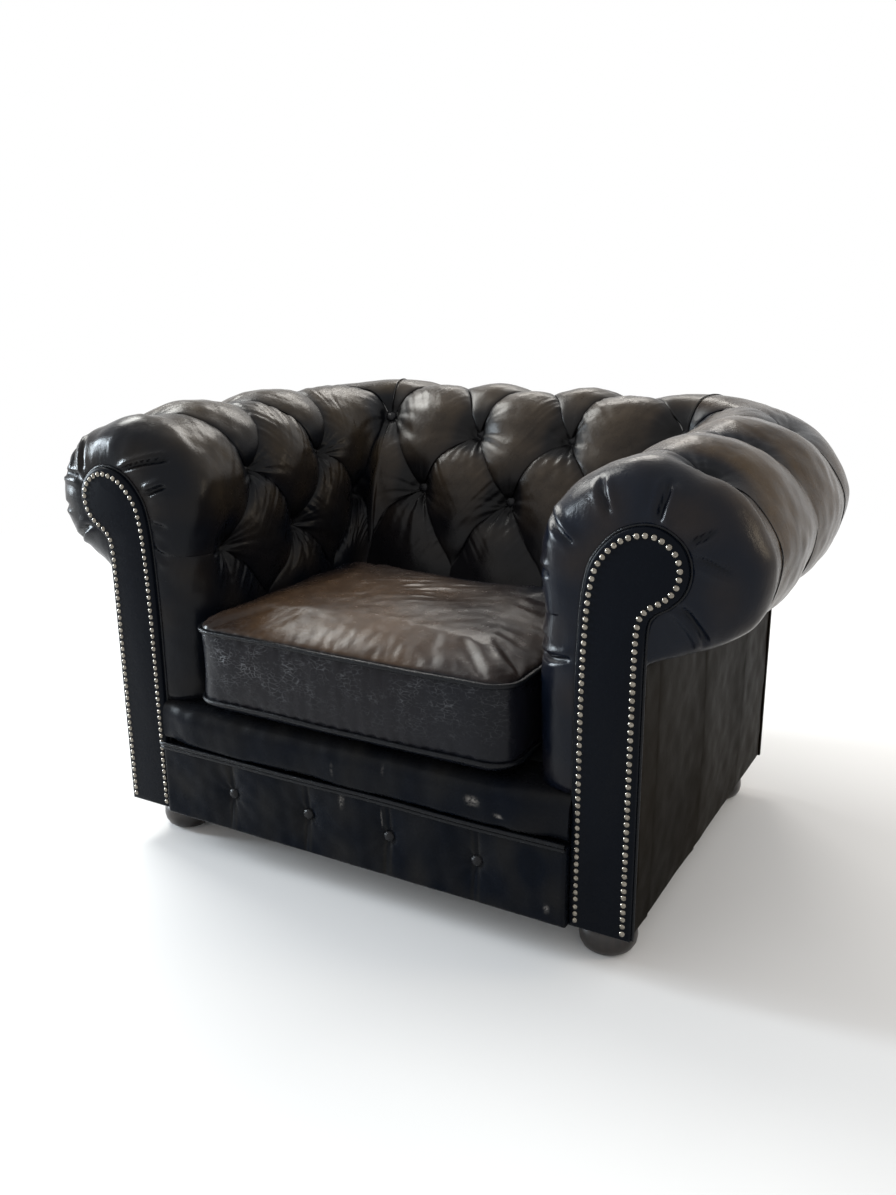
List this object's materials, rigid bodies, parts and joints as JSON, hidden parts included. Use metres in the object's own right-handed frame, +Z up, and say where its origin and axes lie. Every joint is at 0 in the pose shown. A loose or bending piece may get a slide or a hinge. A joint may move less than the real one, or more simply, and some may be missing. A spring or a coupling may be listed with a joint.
{
  "type": "worn club chair",
  "caption": "Low club chair with rolled, deep-buttoned arms and back, nail-trimmed arm facings, a loose seat cushion, a pleated front border and turned bun feet.",
  "frame": {"origin": "on the floor, under the middle of the chair's overall box", "axes": "+Z up, the chair faces -Y, +X to the sitter's left (the viewer's right from the front)"},
  "size_m": [1.1936, 0.8598, 0.721],
  "materials": {
    "worn_leather": "black leather rubbed brown on its high parts, semi-gloss",
    "cushion_leather": "black leather worn brown on the top, semi-gloss",
    "frame_wood": "bare sawn hardwood",
    "foot_wood": "dark stained, satin lacquer",
    "nail_metal": "dull nickel nail heads, lightly tarnished",
    "webbing": "woven elastic webbing",
    "platform_cloth": "plain dark cloth over foam",
    "dust_cloth": "thin black non-woven cloth"
  },
  "bodies": {
    "root": {"arm_rail_left": "frame_wood", "arm_rail_right": "frame_wood", "back_rail": "frame_wood", "back_top_rail": "frame_wood", "border_button_1": "worn_leather", "border_button_2": "worn_leather", "border_button_3": "worn_leather", "border_button_4": "worn_leather", "button_arm_left_row1_1": "worn_leather", "button_arm_left_row1_2": "worn_leather", "button_arm_left_row2_1": "worn_leather", "button_arm_left_row2_2": "worn_leather", "button_arm_left_row2_3": "worn_leather", "button_arm_right_row1_1": "worn_leather", "button_arm_right_row1_2": "worn_leather", "button_arm_right_row2_1": "worn_leather", "button_arm_right_row2_2": "worn_leather", "button_arm_right_row2_3": "worn_leather", "button_back_row1_0": "worn_leather", "button_back_row1_1": "worn_leather", "button_back_row1_2": "worn_leather", "button_back_row1_3": "worn_leather", "button_back_row2_1": "worn_leather", "button_back_row2_2": "worn_leather", "button_back_row2_3": "worn_leather", "dust_cover": "dust_cloth", "facing_left": "worn_leather", "facing_right": "worn_leather", "front_border": "worn_leather", "front_corner_block_left": "frame_wood", "front_corner_block_right": "frame_wood", "front_foot_left": "foot_wood", "front_foot_right": "foot_wood", "front_lip": "worn_leather", "front_post_left": "frame_wood", "front_post_right": "frame_wood", "front_rail": "frame_wood", "inside_arm_left": "worn_leather", "inside_arm_right": "worn_leather", "inside_back": "worn_leather", "outside_arm_left": "worn_leather", "outside_arm_right": "worn_leather", "outside_back": "worn_leather", "rear_corner_block_left": "frame_wood", "rear_corner_block_right": "frame_wood", "rear_foot_left": "foot_wood", "rear_foot_right": "foot_wood", "rear_post_left": "frame_wood", "rear_post_right": "frame_wood", "seat_cushion": "cushion_leather", "seat_platform": "platform_cloth", "seat_web_1": "webbing", "seat_web_2": "webbing", "seat_web_3": "webbing", "seat_web_4": "webbing", "seat_web_5": "webbing", "side_rail_left": "frame_wood", "side_rail_right": "frame_wood"}
  },
  "joints": []
}
